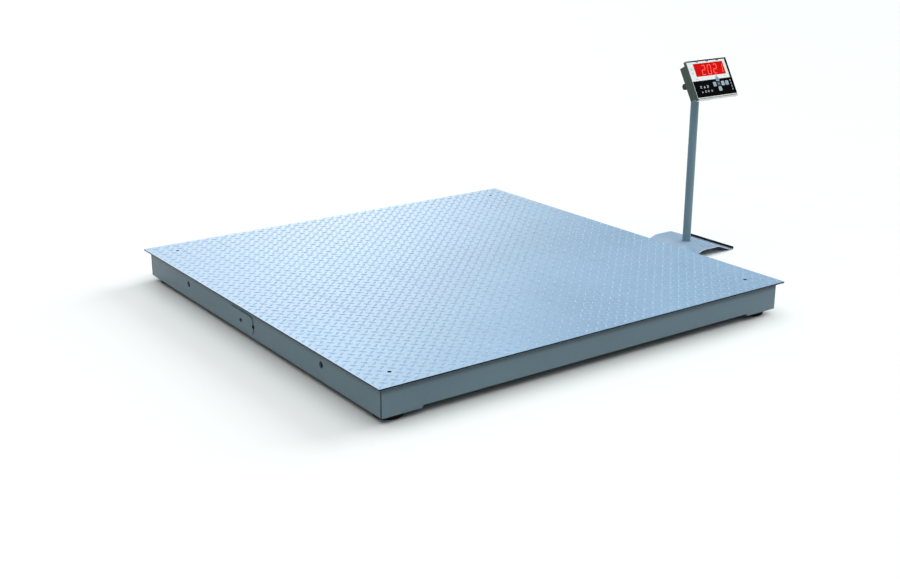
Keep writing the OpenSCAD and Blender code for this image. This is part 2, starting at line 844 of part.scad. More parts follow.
front_bezel();
housing_gasket();
housing_screws();
face_overlay();
display_window();
led_digits();
display_board();
main_board();
battery_pack();
indicator_glands();
color("lightsteelblue") key(0, 1);  // key_up
color("lightsteelblue") key(0, -1);  // key_down
color("lightsteelblue") key(-1, 0);  // key_left
color("lightsteelblue") key(1, 0);  // key_right
color("darkslategray") key(0, 0);  // key_enter
color("lightsteelblue") key(2, 0);  // key_power
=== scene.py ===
import json
import math

import bmesh
import bpy
from mathutils import Matrix, Vector

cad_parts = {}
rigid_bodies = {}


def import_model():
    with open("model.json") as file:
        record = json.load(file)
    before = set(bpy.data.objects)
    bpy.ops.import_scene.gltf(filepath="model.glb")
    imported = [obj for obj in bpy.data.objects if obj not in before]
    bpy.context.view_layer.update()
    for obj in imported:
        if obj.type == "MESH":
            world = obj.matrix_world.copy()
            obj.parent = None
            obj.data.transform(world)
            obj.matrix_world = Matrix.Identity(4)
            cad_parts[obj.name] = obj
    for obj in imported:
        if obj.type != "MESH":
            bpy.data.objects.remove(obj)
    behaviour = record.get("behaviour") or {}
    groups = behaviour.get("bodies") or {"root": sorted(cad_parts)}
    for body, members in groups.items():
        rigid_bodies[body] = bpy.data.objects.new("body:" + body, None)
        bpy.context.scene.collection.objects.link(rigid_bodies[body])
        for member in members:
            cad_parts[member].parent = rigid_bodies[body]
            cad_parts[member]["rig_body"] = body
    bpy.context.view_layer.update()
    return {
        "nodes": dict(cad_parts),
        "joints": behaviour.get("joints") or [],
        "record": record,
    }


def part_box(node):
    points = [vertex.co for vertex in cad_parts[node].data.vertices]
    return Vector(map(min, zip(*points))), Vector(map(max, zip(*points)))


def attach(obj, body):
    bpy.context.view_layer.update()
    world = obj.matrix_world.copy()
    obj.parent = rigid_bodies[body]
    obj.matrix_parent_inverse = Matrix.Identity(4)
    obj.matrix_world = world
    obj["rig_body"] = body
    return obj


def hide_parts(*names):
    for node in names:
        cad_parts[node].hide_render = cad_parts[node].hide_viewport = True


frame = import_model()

joints = {joint["name"]: joint for joint in frame["joints"]}
slots = {part["node"]: part["material_slot"] for part in frame["record"]["subparts"]}

MM = 0.001


# ---- node trees ----------------------------------------------------------------------

class Wire:
    """A socket of a node tree. Arithmetic on numbers adds Math nodes, and on vectors Vector Math nodes."""

    def __init__(self, graph, socket):
        self.graph = graph
        self.socket = socket

    def combine(self, operation, *others):
        sides = (self, *others)
        kind = "ShaderNodeVectorMath" if any(is_vector(side) for side in sides) else "ShaderNodeMath"
        return self.graph.node(kind, {"operation": operation}, dict(enumerate(sides)))

    def __add__(self, other):
        return self.combine("ADD", other)

    def __radd__(self, other):
        return self.combine("ADD", other)

    def __sub__(self, other):
        return self.combine("SUBTRACT", other)

    def __rsub__(self, other):
        return self.graph.wire(other, self).combine("SUBTRACT", self)

    def __mul__(self, other):
        return self.combine("MULTIPLY", other)

    def __rmul__(self, other):
        return self.combine("MULTIPLY", other)

    def __truediv__(self, other):
        return self.combine("DIVIDE", other)

    def __rtruediv__(self, other):
        return self.graph.wire(other, self).combine("DIVIDE", self)

    def __pow__(self, other):
        return self.combine("POWER", other)

    def __mod__(self, other):
        return self.combine("FLOORED_MODULO", other)

    def __abs__(self):
        return self.combine("ABSOLUTE")

    def __lt__(self, other):
        return self.combine("LESS_THAN", other)

    def __gt__(self, other):
        return self.combine("GREATER_THAN", other)

    def most(self, other):
        return self.combine("MAXIMUM", other)

    def rise(self, low, high):
        """0 up to low, 1 from high on, and a smooth step between them."""
        sockets = {"Value": self, "From Min": low, "From Max": high}
        return self.graph.node("ShaderNodeMapRange", {"interpolation_type": "SMOOTHSTEP"}, sockets)

    def parts(self):
        """The three parts of a vector."""
        node = self.graph.tree.nodes.new("ShaderNodeSeparateXYZ")
        self.graph.plug(node.inputs[0], self)
        return [Wire(self.graph, output) for output in node.outputs]


def is_vector(side):
    if isinstance(side, Wire):
        return side.socket.type in ("VECTOR", "RGBA")
    return isinstance(side, (tuple, Vector))


class Graph:
    """One node tree. A node gets its settings first, and then the values or wires of its sockets."""

    def __init__(self, tree):
        self.tree = tree

    def plug(self, socket, value):
        if isinstance(value, Wire):
            self.tree.links.new(value.socket, socket)
        else:
            socket.default_value = value

    def node(self, kind, settings=None, sockets=None, output=0):
        made = self.tree.nodes.new(kind)
        for key, value in (settings or {}).items():
            setattr(made, key, value)
        for key, value in (sockets or {}).items():
            self.plug(made.inputs[key], value)
        return Wire(self, made.outputs[output])

    def wire(self, value, like):
        """A plain number or vector as a wire, so that it can stand first in a subtraction."""
        if is_vector(like):
            return self.node("ShaderNodeVectorMath", {"operation": "ADD"}, {0: value, 1: (0, 0, 0)})
        return self.node("ShaderNodeMath", {"operation": "ADD"}, {0: value, 1: 0})

    def vector(self, x, y, z):
        return self.node("ShaderNodeCombineXYZ", {}, {0: x, 1: y, 2: z})


class Finish(Graph):
    """A material with one Principled shader. What is even all over is fixed on it, and the rest is mapped."""

    def __init__(self, name, **fixed):
        self.material = bpy.data.materials.new(name)
        self.material.use_nodes = True
        super().__init__(self.material.node_tree)
        self.shader = self.tree.nodes["Principled BSDF"]
        for key, value in fixed.items():
            self.shader.inputs[key.replace("_", " ").title().replace("Ior", "IOR")].default_value = value
        self.place = self.node("ShaderNodeTexCoord", output="Object")

    def map(self, socket, wire):
        self.plug(self.shader.inputs[socket], wire)

    def noise(self, scale, detail=2.0, stretch=(1, 1, 1)):
        """Noise with about this many swirls to the metre."""
        place = self.place * Vector(stretch)
        return self.node("ShaderNodeTexNoise", {}, {"Vector": place, "Scale": scale, "Detail": detail})

    def cells(self, scale, feature="F1"):
        return self.node("ShaderNodeTexVoronoi", {"feature": feature}, {"Vector": self.place, "Scale": scale})

    def blend(self, share, low, high):
        """The colour low where share is 0, and high where it is 1."""
        made = self.tree.nodes.new("ShaderNodeMix")
        made.data_type = "RGBA"
        self.plug(made.inputs["Factor"], share)
        for socket, colour in ((made.inputs[6], low), (made.inputs[7], high)):
            self.plug(socket, colour if isinstance(colour, Wire) else (*colour, 1))
        return Wire(self, made.outputs[2])

    def bump(self, height, depth):
        """Relief of this depth in metres."""
        self.map("Normal", self.node("ShaderNodeBump", {}, {"Distance": depth, "Height": height}))


def shade(colour, factor):
    return tuple(part * factor for part in colour)


# ---- finishes ------------------------------------------------------------------------

def powder_coat(name, colour, roughness, peel=0.05 * MM, dust=0.0, painted_shade=0.0):
    """Baked paint: cloudy tone, orange peel, fine grit and floor dust low down. Painted shade darkens it
    under the deck's edge and in the upright seams at the frame's corners, and thins the coat under the deck."""
    finish = Finish(name, coat_roughness=0.25, specular_ior_level=0.3)
    cloud = finish.noise(4, 4)
    grit = finish.noise(1400, 1)
    tone = (cloud * 0.7 + grit * 0.3).rise(0.3, 0.7)
    paint = finish.blend(tone, shade(colour, 0.93), shade(colour, 1.06))
    x, y, z = finish.place.parts()
    dust_height = 50 * MM
    low = z.rise(dust_height, 0.0) * finish.noise(60, 3).rise(0.4, 0.7)
    dusty = finish.blend(low * dust, paint, (0.30, 0.29, 0.27))
    # Painted shade: darker paint in the top 26 mm under the deck's overhang and in the upright seams at the
    # frame's corners.
    under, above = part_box("deck_plate")
    shade_depth = 26 * MM
    under_deck_shade = z.rise(under.z - shade_depth, under.z - 1 * MM) * (z < above.z) * (x < above.x)
    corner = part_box("front_skirt")[0]
    on_side = (abs(x) > -corner.x - 0.5 * MM) * (z < under.z)
    seam_shade = abs(y).rise(-corner.y - 8 * MM, -corner.y - 4 * MM) * on_side
    finish.map("Base Color", finish.blend(under_deck_shade.most(seam_shade) * painted_shade, dusty, shade(colour, 0.08)))
    finish.map("Coat Weight", (1 - under_deck_shade) * 0.1)
    finish.map("Roughness", roughness + (cloud - 0.5) * 0.10 + (grit - 0.5) * 0.06)
    finish.bump(finish.noise(700, 2), peel)
    return finish.material


def deck_coat(name, colour):
    """Paint on the deck and the stand's base: rubbed edges and faint drag marks. The deck's cut edge is
    painted near-black as shade and made metallic, and the base's cut ends carry a painted highlight."""
    finish = Finish(name, coat_roughness=0.14)
    low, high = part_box("deck_plate")
    centre = (low + high) / 2
    x, y, z = (finish.place - centre).parts()
    to_edge = (high.x - centre.x) - abs(x).most(abs(y))
    rubbed = to_edge.rise(4 * MM, 0.5 * MM) * finish.noise(90, 4).rise(0.42, 0.62)
    cloud = finish.noise(2.2, 5)
    drag = finish.noise(30, 3, (1, 0.06, 1)).rise(0.56, 0.70) * finish.noise(5, 3).rise(0.4, 0.7)
    paint = finish.blend(cloud.rise(0.3, 0.7), shade(colour, 0.95), shade(colour, 1.04))
    worn = finish.blend(drag * 0.25, paint, shade(colour, 0.75))
    top = finish.blend(rubbed * 0.35, worn, (0.42, 0.44, 0.46))
    _, facing_y, facing_z = finish.node("ShaderNodeNewGeometry", output="Normal").parts()
    thick = high.z - low.z
    base_depth = 8 * thick
    # Painted shade: the deck plate's cut edge is made near-black and metallic, with less coat.
    edge = abs(facing_z).rise(0.8, 0.5) * (abs(z) < thick / 2 - 0.3 * MM)
    # Painted highlight: the stand base's cut ends, far below the deck, are made light.
    end_highlight = abs(facing_y).rise(0.6, 0.8) * (z < -base_depth)
    finish.map("Coat Weight", (1 - edge) * 0.5)
    finish.map("Metallic", edge)
    edge_shaded = finish.blend(edge, top, (0.010, 0.019, 0.025))
    finish.map("Base Color", finish.blend(end_highlight, edge_shaded, (0.62, 0.66, 0.68)))
    finish.map("Roughness", 0.27 + (cloud - 0.5) * 0.12 + drag * 0.12)
    finish.bump(finish.noise(500, 2), 0.06 * MM)
    return finish.material


def zinc_plate(name):
    """Bright zinc on steel: small crystals, soft stains and a satin surface."""
    finish = Finish(name, metallic=0.95)
    crystals = finish.cells(900)
    stain = finish.noise(60, 4)
    tone = (stain * 0.6 + crystals * 0.4).rise(0.2, 0.7)
    finish.map("Base Color", finish.blend(tone, (0.50, 0.50, 0.48), (0.68, 0.68, 0.66)))
    finish.map("Roughness", 0.30 + stain * 0.2)
    finish.bump(finish.noise(1500, 2), 0.02 * MM)
    return finish.material


def blackened_steel(name):
    """Black oxide steel with an oily, uneven sheen."""
    finish = Finish(name, metallic=0.6)
    cloud = finish.noise(150, 4)
    finish.map("Base Color", finish.blend(cloud.rise(0.3, 0.7), (0.015, 0.016, 0.018), (0.04, 0.04, 0.043)))
    finish.map("Roughness", 0.32 + cloud * 0.25)
    finish.bump(finish.noise(2200, 2), 0.02 * MM)
    return finish.material


def brushed_steel(name):
    """Stainless sheet brushed along X."""
    finish = Finish(name, metallic=1.0)
    lines = finish.noise(60, 5, (1, 45, 45))
    cloud = finish.noise(25, 3)
    tone = lines * 0.7 + cloud * 0.3
    finish.map("Base Color", finish.blend(tone.rise(0.3, 0.7), (0.55, 0.56, 0.54), (0.72, 0.73, 0.70)))
    finish.map("Roughness", 0.26 + lines * 0.16)
    finish.bump(lines, 0.02 * MM)
    return finish.material


def rubber(name):
    """Moulded rubber with a bloom of dust in its texture."""
    finish = Finish(name, specular_ior_level=0.15)
    bloom = finish.noise(120, 4).rise(0.45, 0.75)
    finish.map("Base Color", finish.blend(bloom * 0.3, (0.006, 0.006, 0.007), (0.05, 0.05, 0.05)))
    finish.map("Roughness", 0.66 + bloom * 0.2)
    finish.bump(finish.noise(1800, 3), 0.05 * MM)
    return finish.material


def moulded_plastic(name, colour, roughness, grain=1600, depth=0.03 * MM):
    """Injection-moulded plastic with spark-eroded grain and faint flow marks."""
    finish = Finish(name)
    flow = finish.noise(18, 3)
    grains = finish.cells(grain, "SMOOTH_F1")
    finish.map("Base Color", finish.blend(flow.rise(0.3, 0.7), shade(colour, 0.9), shade(colour, 1.1)))
    finish.map("Roughness", roughness + (flow - 0.5) * 0.1 + grains * 0.06)
    finish.bump(grains, depth)
    return finish.material


def circuit_board(name):
    """Green solder mask over copper tracks, with tinned pads."""
    finish = Finish(name, coat_weight=0.4, coat_roughness=0.15)
    x, _, z = finish.place.parts()
    wander = finish.noise(140, 1) * 3 * MM
    pitch = 2.54 * MM
    across = ((x + wander) % pitch) / pitch
    along = ((z + wander) % pitch) / pitch
    track = abs(across - 0.5).rise(0.30, 0.22).most(abs(along - 0.5).rise(0.14, 0.08))
    from_centre = ((across - 0.5) ** 2 + (along - 0.5) ** 2) ** 0.5
    pad = from_centre.rise(0.26, 0.22) * finish.noise(90, 1).rise(0.5, 0.54)
    mask = finish.blend(track, (0.012, 0.09, 0.035), (0.03, 0.20, 0.07))
    finish.map("Base Color", finish.blend(pad, mask, (0.60, 0.60, 0.56)))
    finish.map("Metallic", pad * 0.9)
    finish.map("Roughness", 0.35 + pad * 0.1)
    finish.bump(track, 0.04 * MM)
    return finish.material


def cable_sheath(name):
    """Black flexible sheath, slightly ribbed by the cores inside it."""
    finish = Finish(name)
    lay = finish.noise(300, 2)
    finish.map("Base Color", finish.blend(lay.rise(0.35, 0.65), (0.016, 0.016, 0.017), (0.032, 0.032, 0.034)))
    finish.map("Roughness", 0.42 + lay * 0.16)
    finish.bump(lay, 0.08 * MM)
    return finish.material


def film(name, colour, roughness, gloss=0.3):
    """Printed polyester film with a fine velvet texture."""
    finish = Finish(name, specular_ior_level=gloss)
    velvet = finish.noise(3000, 1)
    smear = finish.noise(35, 4)
    finish.map("Base Color", finish.blend(smear.rise(0.3, 0.7), shade(colour, 0.95), shade(colour, 1.05)))
    finish.map("Roughness", roughness + (smear - 0.5) * 0.12)
    finish.bump(velvet, 0.008 * MM)
    return finish.material


def red_filter(name):
    """Tinted acrylic in front of the digits: painted red glow as emission, and it lets the lit segments
    through.
    """
    finish = Finish(name, alpha=0.7, roughness=0.2, specular_ior_level=0.03, emission_strength=0.22)
    depth = finish.noise(40, 3).rise(0.3, 0.7)
    finish.map("Base Color", finish.blend(depth, (0.50, 0.004, 0.003), (0.58, 0.007, 0.005)))
    # Painted glow: the filter itself emits red.
    finish.map("Emission Color", finish.blend(depth, (0.85, 0.004, 0.002), (1.0, 0.007, 0.004)))
    return finish.material


def glow(name, colour, strength):
    """A lit segment, with the grain of the diffuser."""
    finish = Finish(name, roughness=0.5, emission_strength=strength)
    grain = finish.noise(900, 2)
    finish.map("Base Color", finish.blend(grain, (0.5, 0.2, 0.2), (0.6, 0.3, 0.3)))
    finish.map("Emission Color", finish.blend(grain.rise(0.3, 0.7), shade(colour, 0.92), colour))
    return finish.material


def shrink_wrap(name):
    """Blue heat-shrink sleeve over cells, puckered along its length."""
    finish = Finish(name, coat_weight=0.4, coat_roughness=0.2)
    pucker = finish.noise(80, 3, (1, 1, 4))
    finish.map("Base Color", finish.blend(pucker, (0.02, 0.07, 0.22), (0.04, 0.12, 0.34)))
    finish.map("Roughness", 0.3 + pucker * 0.2)
    finish.bump(pucker, 0.3 * MM)
    return finish.material


PAINT = (0.125, 0.195, 0.235)

finishes = {
    "frame_paint": powder_coat("frame_paint", PAINT, 0.42, dust=0.3, painted_shade=0.95),
    "deck_paint": deck_coat("deck_paint", (0.230, 0.375, 0.530)),
    "zinc_steel": zinc_plate("zinc_steel"),
    "black_steel": blackened_steel("black_steel"),
    "rubber": rubber("rubber"),
    "grey_plastic": moulded_plastic("grey_plastic", (0.42, 0.43, 0.43), 0.45),
    "black_plastic": moulded_plastic("black_plastic", (0.02, 0.02, 0.022), 0.42),
    "circuit_board": circuit_board("circuit_board"),
    "cable_sheath": cable_sheath("cable_sheath"),
    "housing_paint": powder_coat("housing_paint", (0.060, 0.092, 0.070), 0.45, peel=0.08 * MM),
    "stainless_steel": brushed_steel("stainless_steel"),
    "overlay_film": film("overlay_film", (0.002, 0.002, 0.003), 0.35, 0.03),
    "red_window": red_filter("red_window"),
    "led_epoxy": moulded_plastic("led_epoxy", (0.30, 0.006, 0.006), 0.5, 300, 0.0),
    "battery_wrap": shrink_wrap("battery_wrap"),
    "key_pale": moulded_plastic("key_pale", (0.42, 0.54, 0.62), 0.5, 2200, 0.02 * MM),
    "key_dark": moulded_plastic("key_dark", (0.03, 0.07, 0.08), 0.5, 2200, 0.02 * MM),
}
white_film = film("white_film", (0.80, 0.85, 0.83), 0.4)
mark_ink = film("mark_ink", (0.10, 0.15, 0.18), 0.45)
faint_ink = film("faint_ink", (0.36, 0.44, 0.50), 0.45)
violet_ink = film("violet_ink", (0.085, 0.050, 0.120), 0.45)
pale_ink = film("pale_ink", (0.50, 0.58, 0.62), 0.45)
blue_ink = film("blue_ink", (0.12, 0.17, 0.42), 0.45)
rim_enamel = powder_coat("rim_enamel", (0.72, 0.74, 0.69), 0.4)
column_coat = powder_coat("column_coat", shade(PAINT, 1.3), 0.42, dust=0.3)
lit_segment = glow("lit_segment", (1.0, 0.40, 0.36), 4.4)
dark_segment = moulded_plastic("dark_segment", (0.55, 0.03, 0.03), 0.5, 300, 0.0)

for node, obj in frame["nodes"].items():
    for place in obj.material_slots:
        place.material = finishes[slots[node]]


# ---- making pieces -------------------------------------------------------------------

def body_of(node):
    return frame["nodes"][node]["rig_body"]


def seated(obj, body, stands_for=()):
    """Ties a finished piece to its body and the nodes that it stands for."""
    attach(obj, body)
    if stands_for:
        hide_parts(*stands_for)
    return obj


def piece(name, bm, material, crease=35, place=None):
    """A mesh object from a bmesh, with faces outwards and shaded smooth between edges sharper than crease."""
    bmesh.ops.recalc_face_normals(bm, faces=bm.faces)
    mesh = bpy.data.meshes.new(name)
    bm.to_mesh(mesh)
    bm.free()
    if place is not None:
        mesh.transform(place)
    mesh.shade_smooth()
    mesh.set_sharp_from_angle(angle=math.radians(crease))
    mesh.materials.append(material)
    obj = bpy.data.objects.new(name, mesh)
    bpy.context.scene.collection.objects.link(obj)
    return obj


def bare_mesh(name, bm, material):
    """A finished mesh without its object, for a tree to start from."""
    obj = piece(name, bm, material)
    mesh = obj.data
    bpy.data.objects.remove(obj)
    return mesh


def even_normals(obj):
    """Keeps wide flat faces flat in the shading beside their rounded edges."""
    modifier = obj.modifiers.new("even_normals", "WEIGHTED_NORMAL")
    modifier.keep_sharp = True


def softened(node, width, material=None):
    """A CAD node again, with its edges rounded off to this width."""
    bm = bmesh.new()
    bm.from_mesh(frame["nodes"][node].data)
    bmesh.ops.remove_doubles(bm, verts=bm.verts, dist=0.01 * MM)
    bmesh.ops.dissolve_limit(bm, angle_limit=math.radians(0.2), verts=bm.verts, edges=bm.edges)
    sharp = [edge for edge in bm.edges if edge.is_manifold and edge.calc_face_angle() > math.radians(28)]
    bmesh.ops.bevel(bm, geom=sharp, offset=width, segments=2, profile=0.5, affect="EDGES", clamp_overlap=True)
    made = piece(f"{node}_shell", bm, material or finishes[slots[node]])
    even_normals(made)
    return seated(made, body_of(node), [node])


def lofted(bm, rings):
    """Adds a closed skin through rings of points, flat at both ends."""
    loops = [[bm.verts.new(point) for point in ring] for ring in rings]
    for below, above in zip(loops, loops[1:]):
        for i, corner in enumerate(below):
            j = (i + 1) % len(below)
            bm.faces.new((corner, below[j], above[j], above[i]))
    bm.faces.new(loops[0][::-1])
    bm.faces.new(loops[-1])
    return bm


def ring(radius, height, count):
    """A circle round Z. radius may be a function of the angle."""
    turns = [2 * math.pi * i / count for i in range(count)]
    reach = radius if callable(radius) else lambda turn: radius
    return [(reach(turn) * math.cos(turn), reach(turn) * math.sin(turn), height) for turn in turns]


def turned(bm, profile, count=48):
    """Adds a lathe shape from pairs of radius and height."""
    return lofted(bm, [ring(radius, height, count) for radius, height in profile])


def round_rect(width, height, corner, steps=4):
    """The outline of a rectangle round the origin, with its corners as arcs."""
    points = []
    for quarter, (sx, sy) in enumerate(((1, 1), (-1, 1), (-1, -1), (1, -1))):
        for step in range(steps + 1):
            turn = (quarter + step / steps) * math.pi / 2
            x = sx * (width / 2 - corner) + corner * math.cos(turn)
            points.append((x, sy * (height / 2 - corner) + corner * math.sin(turn)))
    return points


# ---- geometry trees ------------------------------------------------------------------

def geometry_tree(name, inputs):
    """A new geometry tree with named inputs. Returns its graph and the wires of those inputs."""
    tree = bpy.data.node_groups.new(name, "GeometryNodeTree")
    tree.interface.new_socket("Geometry", in_out="INPUT", socket_type="NodeSocketGeometry")
    for label, kind in inputs.items():
        tree.interface.new_socket(label, in_out="INPUT", socket_type=f"NodeSocket{kind}")
    tree.interface.new_socket("Geometry", in_out="OUTPUT", socket_type="NodeSocketGeometry")
    graph = Graph(tree)
    start = tree.nodes.new("NodeGroupInput")
    return graph, {output.name: Wire(graph, output) for output in start.outputs if output.name}


def joined(graph, *shapes):
    node = graph.tree.nodes.new("GeometryNodeJoinGeometry")
    for shape in shapes:
        graph.tree.links.new(shape.socket, node.inputs[0])
    return Wire(graph, node.outputs[0])


def closing(graph, shape, finish):
    """Ends a tree: instances made real, and the finish set."""
    real = graph.node("GeometryNodeRealizeInstances", {}, {"Geometry": shape})
    painted = graph.node("GeometryNodeSetMaterial", {}, {"Geometry": real, "Material": finish})
    end = graph.tree.nodes.new("NodeGroupOutput")
    graph.plug(end.inputs[0], painted)
    return graph.tree


def grown(name, tree, values, start=None, place=None, crease=35):
    """Runs a tree on a start mesh and keeps the plain mesh that it makes."""
    obj = bpy.data.objects.new(name, start or bpy.data.meshes.new(name))
    bpy.context.scene.collection.objects.link(obj)
    modifier = obj.modifiers.new("grow", "NODES")
    modifier.node_group = tree
    for item in tree.interface.items_tree:
        if item.in_out == "INPUT" and item.name in values:
            modifier[item.identifier] = values[item.name]
    depsgraph = bpy.context.evaluated_depsgraph_get()
    mesh = bpy.data.meshes.new_from_object(obj.evaluated_get(depsgraph), depsgraph=depsgraph)
    obj.modifiers.clear()
    obj.data = mesh
    if place is not None:
        mesh.transform(place)
    mesh.shade_smooth()
    mesh.set_sharp_from_angle(angle=math.radians(crease))
    return obj


def tread_tree():
    """Lens-shaped lozenges in two crossed grids that leave the lifting holes free."""
    graph, given = geometry_tree("tread", {
        "Span": "Float", "Rows": "Int", "Length": "Float", "Width": "Float", "Height": "Float",
        "Hole Distance": "Float", "Hole Clearance": "Float", "Finish": "Material"})
    cone = graph.node("GeometryNodeMeshCone", {"fill_type": "NGON"}, {
        "Vertices": 12, "Radius Top": 0.42, "Radius Bottom": 1.0, "Depth": given["Height"]})
    x, y, z = graph.node("GeometryNodeInputPosition").parts()
    slim = graph.vector(x * given["Length"] / 2, y * (1 - x * x * 0.35) * given["Width"] / 2, z)
    lozenge = graph.node("GeometryNodeSetPosition", {}, {"Geometry": cone, "Position": slim})
    point_x, point_y, _ = graph.node("GeometryNodeInputPosition").parts()
    off_x = abs(point_x) - given["Hole Distance"]
    off_y = abs(point_y) - given["Hole Distance"]
    clear = (off_x ** 2 + off_y ** 2) ** 0.5 > given["Hole Clearance"]
    pitch = given["Span"] / given["Rows"]
    grids = []
    for fewer, turn in ((0, 45), (1, -45)):
        side = given["Span"] - pitch * fewer
        count = given["Rows"] + (1 - fewer)
        grid = graph.node("GeometryNodeMeshGrid", {}, {
            "Size X": side, "Size Y": side, "Vertices X": count, "Vertices Y": count})
        grids.append(graph.node("GeometryNodeInstanceOnPoints", {}, {
            "Points": grid, "Selection": clear, "Instance": lozenge,
            "Rotation": (0, 0, math.radians(turn))}))
    return closing(graph, joined(graph, *grids), given["Finish"])


def ring_tree():
    """The start shape with bars standing round it, parallel to Z."""
    graph, given = geometry_tree("ring_of_bars", {
        "Count": "Int", "Ring Radius": "Float", "Bar Radius": "Float", "Low": "Float", "High": "Float",
        "Finish": "Material"})
    bar = graph.node("GeometryNodeMeshCylinder", {"fill_type": "NGON"}, {
        "Vertices": 10, "Radius": given["Bar Radius"], "Depth": given["High"] - given["Low"]})
    circle = graph.node("GeometryNodeMeshCircle", {}, {
        "Vertices": given["Count"], "Radius": given["Ring Radius"]})
    middle = graph.vector(0, 0, (given["High"] + given["Low"]) / 2)
    raised = graph.node("GeometryNodeTransform", {}, {"Geometry": circle, "Translation": middle})
    bars = graph.node("GeometryNodeInstanceOnPoints", {}, {"Points": raised, "Instance": bar})
    return closing(graph, joined(graph, given["Geometry"], bars), given["Finish"])


def bead_tree():
    """A weld: overlapping drops along a line, in runs with bare gaps between them."""
    graph, given = geometry_tree("weld_bead", {
        "Drops": "Int", "Start": "Vector", "Step": "Vector", "Size": "Float", "Run": "Float", "Gap": "Float",
        "Finish": "Material"})
    drop = graph.node("GeometryNodeMeshIcoSphere", {}, {"Radius": given["Size"], "Subdivisions": 2})
    line = graph.node("GeometryNodeMeshLine", {"mode": "OFFSET"}, {
        "Count": given["Drops"], "Start Location": given["Start"], "Offset": given["Step"]})
    index = graph.node("GeometryNodeInputIndex")
    laid = index % (given["Run"] + given["Gap"]) < given["Run"]
    min_socket, max_socket = 2, 3
    uneven = graph.node(
        "FunctionNodeRandomValue", {"data_type": "FLOAT"},
        {min_socket: 0.85, max_socket: 1.12, "Seed": 4}, output=1)
    drops = graph.node("GeometryNodeInstanceOnPoints", {}, {
        "Points": line, "Selection": laid, "Instance": drop, "Scale": graph.vector(uneven, uneven, uneven)})
    return closing(graph, drops, given["Finish"])


def corner_tree():
    """The start shape at the four corners of an upright rectangle."""
    graph, given = geometry_tree("four_corners", {"Width": "Float", "Height": "Float", "Finish": "Material"})
    grid = graph.node("GeometryNodeMeshGrid", {}, {
        "Size X": given["Width"], "Size Y": given["Height"], "Vertices X": 2, "Vertices Y": 2})
    copies = graph.node("GeometryNodeInstanceOnPoints", {}, {"Points": grid, "Instance": given["Geometry"]})
    return closing(graph, copies, given["Finish"])


ring_of_bars = ring_tree()
weld_bead = bead_tree()
four_corners = corner_tree()


# ---- platform ------------------------------------------------------------------------

deck_low, deck_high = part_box("deck_plate")
deck_centre = (deck_low + deck_high) / 2
deck_side = deck_high.x - deck_low.x
nuts_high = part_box("lifting_nuts")[1]


def deck_tread():
    pitch = 36 * MM
    margin = 14 * MM
    span = deck_side - 2 * margin
    nut_radius = 15 * MM
    values = {
        "Span": span, "Rows": round(span / pitch), "Length": 31 * MM, "Width": 8 * MM, "Height": 1.6 * MM,
        "Hole Distance": nuts_high.x - nut_radius - deck_centre.x, "Hole Clearance": 17 * MM,
        "Finish": finishes["deck_paint"]}
    on_top = Matrix.Translation((deck_centre.x, deck_centre.y, deck_high.z - 0.05 * MM))
    seated(grown("deck_tread", tread_tree(), values, place=on_top), "platform")


def frame_welds():
    """Stitch welds between the deck's underside and the outside of the frame."""
    low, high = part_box("front_skirt")
    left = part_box("side_beam_left")[0].x
    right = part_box("side_beam_right")[1].x
    front, rear = low.y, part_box("rear_skirt")[1].y
    z = deck_low.z - 0.6 * MM
    step = 2.2 * MM
    sides = {
        "front": (Vector((low.x, front, z)), Vector((high.x, front, z))),
        "rear": (Vector((low.x, rear, z)), Vector((high.x, rear, z))),
        "left": (Vector((left, front, z)), Vector((left, rear, z))),
        "right": (Vector((right, front, z)), Vector((right, rear, z)))}
    for side, (start, end) in sides.items():
        length = (end - start).length
        values = {
            "Drops": int(length / step), "Start": start, "Step": (end - start) / length * step,
            "Size": 2.6 * MM, "Run": 18.0, "Gap": 48.0, "Finish": finishes["frame_paint"]}
        seated(grown(f"weld_{side}", weld_bead, values, crease=60), "platform")


def platform_shells():
    for node, width in (
            ("deck_plate", 0.9), ("side_beam_left", 0.8), ("side_beam_right", 0.8), ("front_skirt", 0.8),
            ("rear_skirt", 0.8), ("access_cover", 0.7), ("cover_screw", 0.4), ("outlet_grommet", 0.4),
            ("cross_ribs", 0.6), ("long_ribs", 0.6), ("cell_blocks", 0.8), ("load_cells", 0.8)):
        softened(node, width * MM)


# ---- feet ----------------------------------------------------------------------------

def foot(number):
    """A rubber foot with ribs round its rim, on its steel cup."""
    node = f"foot_rubber_{number}"
    low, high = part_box(node)
    radius = (high.x - low.x) / 2
    height = high.z - low.z
    cup_low, cup_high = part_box(f"foot_cup_{number}")
    cup = (cup_high.x - cup_low.x) / 2
    seat = cup_low.z - low.z
    profile = [
        (radius - 6 * MM, 0.0), (radius - 2.4 * MM, 0.3 * MM), (radius - 1.2 * MM, 1.6 * MM),
        (radius - 1.2 * MM, height - 3.5 * MM), (radius - 2.2 * MM, height - 1.2 * MM),
        (radius - 5 * MM, height), (cup + 2.2 * MM, height), (cup, height - 1 * MM), (cup, seat)]
    disc = bare_mesh(f"disc_{number}", turned(bmesh.new(), profile, 64), finishes["rubber"])
    values = {
        "Count": 44, "Ring Radius": radius - 1.5 * MM, "Bar Radius": 1.5 * MM, "Low": 2 * MM,
        "High": height - 4 * MM, "Finish": finishes["rubber"]}
    place = Matrix.Translation(((low.x + high.x) / 2, (low.y + high.y) / 2, low.z))
    made = grown(f"foot_{number}", ring_of_bars, values, disc, place)
    seated(made, body_of(node), [node])
    softened(f"foot_cup_{number}", 0.5 * MM)


# ---- column stand --------------------------------------------------------------------

